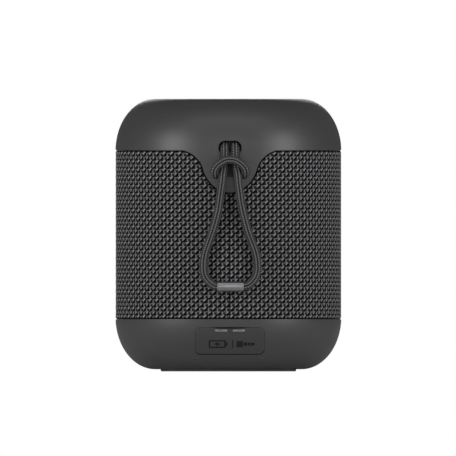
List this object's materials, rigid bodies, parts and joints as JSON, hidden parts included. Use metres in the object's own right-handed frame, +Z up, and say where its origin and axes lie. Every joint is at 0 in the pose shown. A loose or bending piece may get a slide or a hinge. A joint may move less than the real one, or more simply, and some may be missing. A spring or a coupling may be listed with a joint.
{
  "type": "shower speaker",
  "caption": "Compact round waterproof speaker with a knitted fabric sleeve, top control pad, rear port flap and a braided wrist lanyard hitched to a pin in a pocket.",
  "frame": {"origin": "centre of the foot pad's underside, on the surface the speaker stands on", "axes": "+Z up along the speaker's axis, -Y out of the rear with the lanyard and port flap, +Y out of the driver"},
  "size_m": [0.1, 0.1057, 0.1207],
  "materials": {
    "housing": "satin moulded plastic with a very fine grain",
    "cloth": "acoustic knit with raised diagonal ribs and open holes",
    "rubber": "matte moulded rubber",
    "button": "matte rubber over a hard cap",
    "light_pipe": "clear diffusing plastic",
    "inner_plastic": "moulded plastic",
    "circuit_board": "solder mask on fibreglass",
    "switch_plastic": "moulded nylon",
    "zinc_steel": "zinc plated",
    "socket_steel": "stamped stainless steel",
    "jack_plastic": "moulded plastic",
    "cell_wrap": "heat shrink sleeve",
    "braided_cord": "braided polyester",
    "ferrule_metal": "satin anodised",
    "foam": "closed cell foam",
    "magnet": "ferrite and plated steel",
    "cone_paper": "pressed pulp",
    "radiator_metal": "satin"
  },
  "bodies": {
    "root": {"top_housing": "housing", "bottom_housing": "housing", "fabric_sleeve": "cloth", "grille_frame": "inner_plastic", "foot_pad": "rubber", "control_pad": "rubber", "status_light_pipe": "light_pipe", "control_board": "circuit_board", "switch_play": "switch_plastic", "switch_volume_up": "switch_plastic", "switch_volume_down": "switch_plastic", "switch_power": "switch_plastic", "switch_pair": "switch_plastic", "cap_screw_1": "zinc_steel", "cap_screw_2": "zinc_steel", "cap_screw_3": "zinc_steel", "cap_screw_4": "zinc_steel", "housing_screw_1": "zinc_steel", "housing_screw_2": "zinc_steel", "housing_screw_3": "zinc_steel", "housing_screw_4": "zinc_steel", "usb_socket": "socket_steel", "aux_socket": "jack_plastic", "main_board": "circuit_board", "battery_cell": "cell_wrap", "battery_holder": "inner_plastic", "lanyard_pin": "housing", "lanyard_hitch": "braided_cord", "cabinet_front": "inner_plastic", "cabinet_gasket": "foam", "cabinet_rear": "inner_plastic", "driver_basket": "zinc_steel", "driver_gasket": "foam", "driver_magnet": "magnet", "driver_surround": "rubber", "driver_screw_1": "zinc_steel", "driver_screw_2": "zinc_steel", "driver_screw_3": "zinc_steel", "driver_screw_4": "zinc_steel", "radiator_left_frame": "inner_plastic", "radiator_left_surround": "rubber", "radiator_right_frame": "inner_plastic", "radiator_right_surround": "rubber"},
    "button_play_body": {"button_play": "button"},
    "button_volume_up_body": {"button_volume_up": "button"},
    "button_volume_down_body": {"button_volume_down": "button"},
    "button_power_body": {"button_power": "button"},
    "button_pair_body": {"button_pair": "button"},
    "port_flap_body": {"port_flap": "rubber"},
    "lanyard_loop": {"lanyard_cord_left": "braided_cord", "lanyard_cord_right": "braided_cord", "lanyard_ferrule": "ferrule_metal"},
    "driver_cone_body": {"driver_cone": "cone_paper"},
    "radiator_left_body": {"radiator_left_plate": "radiator_metal"},
    "radiator_right_body": {"radiator_right_plate": "radiator_metal"}
  },
  "joints": [
    {"name": "play_press", "type": "slide", "parent": "root", "child": "button_play_body", "axis": [0, 0, -1], "range_m": [0, 0.0005], "stiffness_N_per_m": 400},
    {"name": "volume_up_press", "type": "slide", "parent": "root", "child": "button_volume_up_body", "axis": [0, 0, -1], "range_m": [0, 0.0005], "stiffness_N_per_m": 400},
    {"name": "volume_down_press", "type": "slide", "parent": "root", "child": "button_volume_down_body", "axis": [0, 0, -1], "range_m": [0, 0.0005], "stiffness_N_per_m": 400},
    {"name": "power_press", "type": "slide", "parent": "root", "child": "button_power_body", "axis": [0, 0, -1], "range_m": [0, 0.0005], "stiffness_N_per_m": 400},
    {"name": "pair_press", "type": "slide", "parent": "root", "child": "button_pair_body", "axis": [0, 0, -1], "range_m": [0, 0.0005], "stiffness_N_per_m": 400},
    {"name": "port_flap_hinge", "type": "hinge", "parent": "root", "child": "port_flap_body", "pos_m": [0, -0.04436, 0.0082], "axis": [1, 0, 0], "range_deg": [0, 90]},
    {"name": "lanyard_swing", "type": "hinge", "parent": "root", "child": "lanyard_loop", "pos_m": [0, -0.0523, 0.0844], "axis": [-1, 0, 0], "range_deg": [0, 90]},
    {"name": "cone_stroke", "type": "slide", "parent": "root", "child": "driver_cone_body", "axis": [0, 1, 0], "range_m": [-0.002, 0.002], "stiffness_N_per_m": 1500},
    {"name": "radiator_left_stroke", "type": "slide", "parent": "root", "child": "radiator_left_body", "axis": [-1, 0, 0], "range_m": [-0.003, 0.003], "stiffness_N_per_m": 900},
    {"name": "radiator_right_stroke", "type": "slide", "parent": "root", "child": "radiator_right_body", "axis": [1, 0, 0], "range_m": [-0.003, 0.003], "stiffness_N_per_m": 900}
  ]
}
